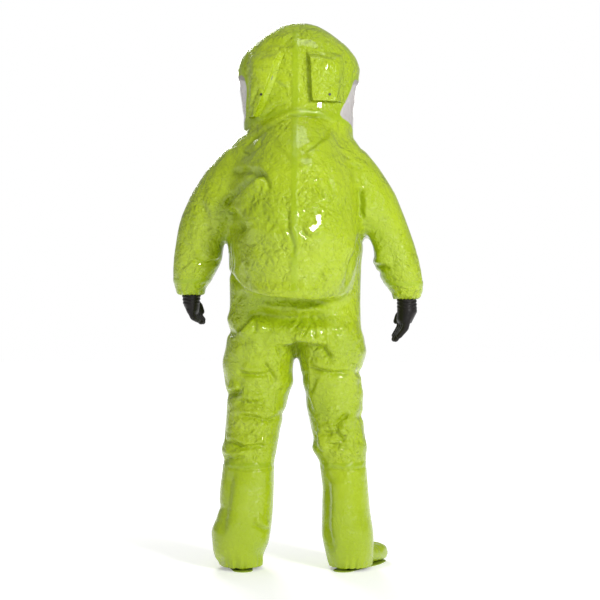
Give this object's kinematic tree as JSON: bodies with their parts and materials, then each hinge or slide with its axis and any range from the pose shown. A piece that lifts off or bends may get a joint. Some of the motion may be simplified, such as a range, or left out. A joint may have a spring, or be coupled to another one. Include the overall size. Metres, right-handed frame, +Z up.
{
  "type": "chemical protective suit",
  "caption": "Fully encapsulating chemical protective suit with hood, clear face shield, expanded back, covered valves, attached gloves, boot flaps and socks, standing as worn.",
  "frame": {"origin": "on the floor, midway between the suit's outermost points in X and in Y", "axes": "+Z up, the wearer faces -Y, +X is the wearer's left"},
  "size_m": [0.877, 0.537, 1.903],
  "materials": {
    "laminate": "glossy lime chemical barrier laminate",
    "sole_laminate": "lime laminate, matt underside",
    "shield": "clear flexible sheet",
    "zip_tape": "coated woven tape",
    "zip_brass": "satin",
    "hook_loop": "napped strip",
    "webbing": "woven belt webbing",
    "black_plastic": "moulded",
    "grey_plastic": "moulded",
    "valve_rubber": "soft",
    "glove_rubber": "matt black",
    "elastic": "covered elastic",
    "clamp_steel": "brushed"
  },
  "bodies": {
    "suit": {"front_panel": "laminate", "back_panel": "laminate", "hood": "laminate", "face_shield": "shield", "face_shield_seal": "laminate", "back_seam_tape": "laminate", "waist_belt": "webbing", "belt_buckle": "black_plastic", "zip_tape": "zip_tape", "zip_chain": "zip_brass", "loop_strip": "hook_loop", "flap_seam": "laminate", "left_valve_base": "grey_plastic", "left_valve_cap": "grey_plastic", "left_upper_sleeve": "laminate", "left_elbow": "laminate", "left_hip": "laminate", "right_valve_base": "grey_plastic", "right_valve_cap": "grey_plastic", "right_upper_sleeve": "laminate", "right_elbow": "laminate", "right_hip": "laminate"},
    "zip_slider": {"zip_slider": "zip_brass", "zip_pull": "zip_brass"},
    "storm_flap": {"storm_flap": "laminate", "hook_strip": "hook_loop"},
    "left_valve_cover": {"left_valve_cover": "laminate", "left_cover_snap": "black_plastic"},
    "left_valve_disc": {"left_valve_disc": "valve_rubber"},
    "left_forearm": {"left_lower_sleeve": "laminate", "left_splash_cuff": "laminate", "left_cuff_elastic": "elastic", "left_glove_ring": "grey_plastic", "left_glove_clamp": "clamp_steel", "left_glove": "glove_rubber"},
    "left_thigh": {"left_thigh": "laminate", "left_knee": "laminate"},
    "left_shin": {"left_shin": "laminate", "left_boot_flap": "laminate", "left_flap_elastic": "elastic", "left_sock": "laminate", "left_sock_sole": "sole_laminate"},
    "right_valve_cover": {"right_valve_cover": "laminate", "right_cover_snap": "black_plastic"},
    "right_valve_disc": {"right_valve_disc": "valve_rubber"},
    "right_forearm": {"right_lower_sleeve": "laminate", "right_splash_cuff": "laminate", "right_cuff_elastic": "elastic", "right_glove_ring": "grey_plastic", "right_glove_clamp": "clamp_steel", "right_glove": "glove_rubber"},
    "right_thigh": {"right_thigh": "laminate", "right_knee": "laminate"},
    "right_shin": {"right_shin": "laminate", "right_boot_flap": "laminate", "right_flap_elastic": "elastic", "right_sock": "laminate", "right_sock_sole": "sole_laminate"}
  },
  "joints": [
    {"name": "zip_slide", "type": "slide", "parent": "suit", "child": "zip_slider", "axis": [0, 0, -1], "range_m": [0, 0.46]},
    {"name": "storm_flap_hinge", "type": "hinge", "parent": "suit", "child": "storm_flap", "pos_m": [-0.06, -0.2286, 1.13], "axis": [0, 0, -1], "range_deg": [0, 120]},
    {"name": "left_cover_hinge", "type": "hinge", "parent": "suit", "child": "left_valve_cover", "pos_m": [0.10485, 0.06081, 1.786], "axis": [0.9063, -0.4226, 0], "range_deg": [0, 60]},
    {"name": "left_disc_lift", "type": "slide", "parent": "suit", "child": "left_valve_disc", "axis": [0.4226, 0.9063, 0], "range_m": [0, 0.0025], "stiffness_N_per_m": 50},
    {"name": "left_elbow_bend", "type": "hinge", "parent": "suit", "child": "left_forearm", "pos_m": [0.343, -0.076, 1.112], "axis": [-1, 0, 0], "range_deg": [0, 70], "deforming": ["left_elbow"]},
    {"name": "left_hip_swing", "type": "hinge", "parent": "suit", "child": "left_thigh", "pos_m": [0.125, -0.062, 0.8], "axis": [-1, 0, 0], "range_deg": [-10, 40], "deforming": ["left_hip"]},
    {"name": "left_knee_bend", "type": "hinge", "parent": "left_thigh", "child": "left_shin", "pos_m": [0.151, -0.061, 0.49], "axis": [1, 0, 0], "range_deg": [0, 75], "deforming": ["left_knee"]},
    {"name": "right_cover_hinge", "type": "hinge", "parent": "suit", "child": "right_valve_cover", "pos_m": [-0.10485, 0.06081, 1.786], "axis": [0.9063, 0.4226, 0], "range_deg": [0, 60]},
    {"name": "right_disc_lift", "type": "slide", "parent": "suit", "child": "right_valve_disc", "axis": [-0.4226, 0.9063, 0], "range_m": [0, 0.0025], "stiffness_N_per_m": 50},
    {"name": "right_elbow_bend", "type": "hinge", "parent": "suit", "child": "right_forearm", "pos_m": [-0.34, -0.076, 1.106], "axis": [-1, 0, 0], "range_deg": [0, 70], "deforming": ["right_elbow"]},
    {"name": "right_hip_swing", "type": "hinge", "parent": "suit", "child": "right_thigh", "pos_m": [-0.125, -0.062, 0.8], "axis": [-1, 0, 0], "range_deg": [-10, 40], "deforming": ["right_hip"]},
    {"name": "right_knee_bend", "type": "hinge", "parent": "right_thigh", "child": "right_shin", "pos_m": [-0.144, -0.061, 0.49], "axis": [1, 0, 0], "range_deg": [0, 75], "deforming": ["right_knee"]}
  ]
}
